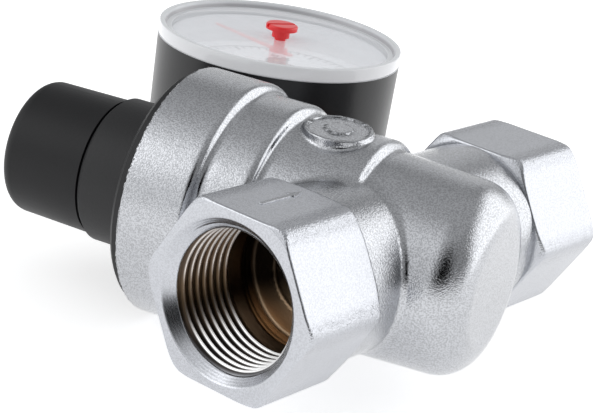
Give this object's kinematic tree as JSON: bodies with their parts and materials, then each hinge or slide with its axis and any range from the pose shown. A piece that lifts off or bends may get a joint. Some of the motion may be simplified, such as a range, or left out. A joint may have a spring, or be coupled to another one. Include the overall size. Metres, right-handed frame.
{
  "type": "pressure reducing valve",
  "caption": "Chromed pressure reducing valve with a leaning spring barrel, a black adjusting knob, female threaded ports and a stem mounted pressure gauge.",
  "frame": {"origin": "centre of the inlet thread, at its first full turn behind the mouth chamfer", "axes": "+Y along the flow from inlet to outlet, +Z out of the gauge dial, +X away from the adjusting knob"},
  "size_m": [0.1115, 0.1092, 0.048],
  "materials": {
    "chromed_brass": "grit-blasted and chrome plated casting",
    "black_moulding": "fine matt moulded nylon",
    "white_moulding": "plain moulded acetal",
    "black_case": "polished moulded case",
    "clear_window": "clear polished plastic",
    "dial_white": "white enamelled aluminium",
    "black_paint": "black painted aluminium",
    "red_plastic": "red moulded plastic",
    "brass": "turned and drawn brass",
    "zinc_steel": "zinc plated steel",
    "stainless": "stainless wire and sheet",
    "black_rubber": "moulded rubber",
    "fibre_gasket": "pressed fibre"
  },
  "bodies": {
    "housing": {"valve_body": "chromed_brass", "bonnet": "black_moulding", "slip_ring": "white_moulding", "diaphragm": "black_rubber", "adjusting_spring": "zinc_steel", "cartridge_body": "white_moulding", "cartridge_cap": "white_moulding", "cartridge_seal": "black_rubber", "strainer_mesh": "stainless", "strainer_cage": "white_moulding", "gauge_socket": "brass", "gauge_gasket": "fibre_gasket", "gauge_case": "black_case", "gauge_window": "clear_window", "dial_plate": "dial_white", "stop_pin": "brass", "bourdon_tube": "brass", "movement_lower_plate": "brass", "movement_upper_plate": "brass", "movement_pillars": "brass", "hairspring": "brass"},
    "knob": {"adjusting_knob": "black_moulding", "adjusting_screw": "zinc_steel"},
    "nut": {"spring_nut": "brass"},
    "stem": {"valve_stem": "brass", "stem_nut": "zinc_steel", "spring_cup": "zinc_steel", "obturator": "brass", "obturator_seal": "black_rubber", "piston_seal": "black_rubber"},
    "sector": {"sector_gear": "brass"},
    "staff": {"pinion": "brass", "pointer": "black_paint"},
    "tip": {"tube_tip": "brass"},
    "tip_link": {"link": "brass"},
    "marker": {"set_knob": "red_plastic", "set_pointer": "red_plastic"}
  },
  "joints": [
    {"name": "knob_turn", "type": "hinge", "parent": "housing", "child": "knob", "pos_m": [-0.05561, 0.02919, 0], "axis": [0.9755, 0.2198, 0], "range_deg": [-675, 1485]},
    {"name": "nut_slide", "type": "slide", "parent": "housing", "child": "nut", "axis": [0.9755, 0.2198, 0], "range_m": [-0.0024, 0.0052], "deforming": ["adjusting_spring"]},
    {"name": "stem_slide", "type": "slide", "parent": "housing", "child": "stem", "axis": [-0.9755, -0.2198, 0], "range_m": [0, 0.002], "stiffness_N_per_m": 2000, "springref_m": -0.002, "deforming": ["diaphragm", "adjusting_spring"]},
    {"name": "sector_swing", "type": "hinge", "parent": "housing", "child": "sector", "pos_m": [-0.05127, 0.07798, 0], "axis": [0, 0, 1], "range_deg": [0, 36], "stiffness_Nm_per_rad": 0.002, "deforming": ["hairspring", "bourdon_tube"]},
    {"name": "pointer_turn", "type": "hinge", "parent": "housing", "child": "staff", "pos_m": [-0.06066, 0.08197, 0], "axis": [0, 0, 1], "range_deg": [-270, 0]},
    {"name": "tip_swing", "type": "hinge", "parent": "housing", "child": "tip", "pos_m": [-0.06948, 0.08726, 0], "axis": [0, 0, 1], "range_deg": [0, 7.1]},
    {"name": "link_swing", "type": "hinge", "parent": "sector", "child": "tip_link", "pos_m": [-0.04709, 0.07755, 0], "axis": [0, 0, 1], "range_deg": [-34, 0]},
    {"name": "set_turn", "type": "hinge", "parent": "housing", "child": "marker", "pos_m": [-0.06066, 0.08197, 0.0172], "axis": [0, 0, 1], "continuous": true}
  ],
  "couplings": [
    {"joint": "nut_slide", "follows": "knob_turn", "m_per_rad": 0.00019894},
    {"joint": "pointer_turn", "follows": "sector_swing", "ratio": -7.5},
    {"joint": "tip_swing", "follows": "sector_swing", "ratio": 0.195},
    {"joint": "link_swing", "follows": "sector_swing", "ratio": -0.9375}
  ]
}
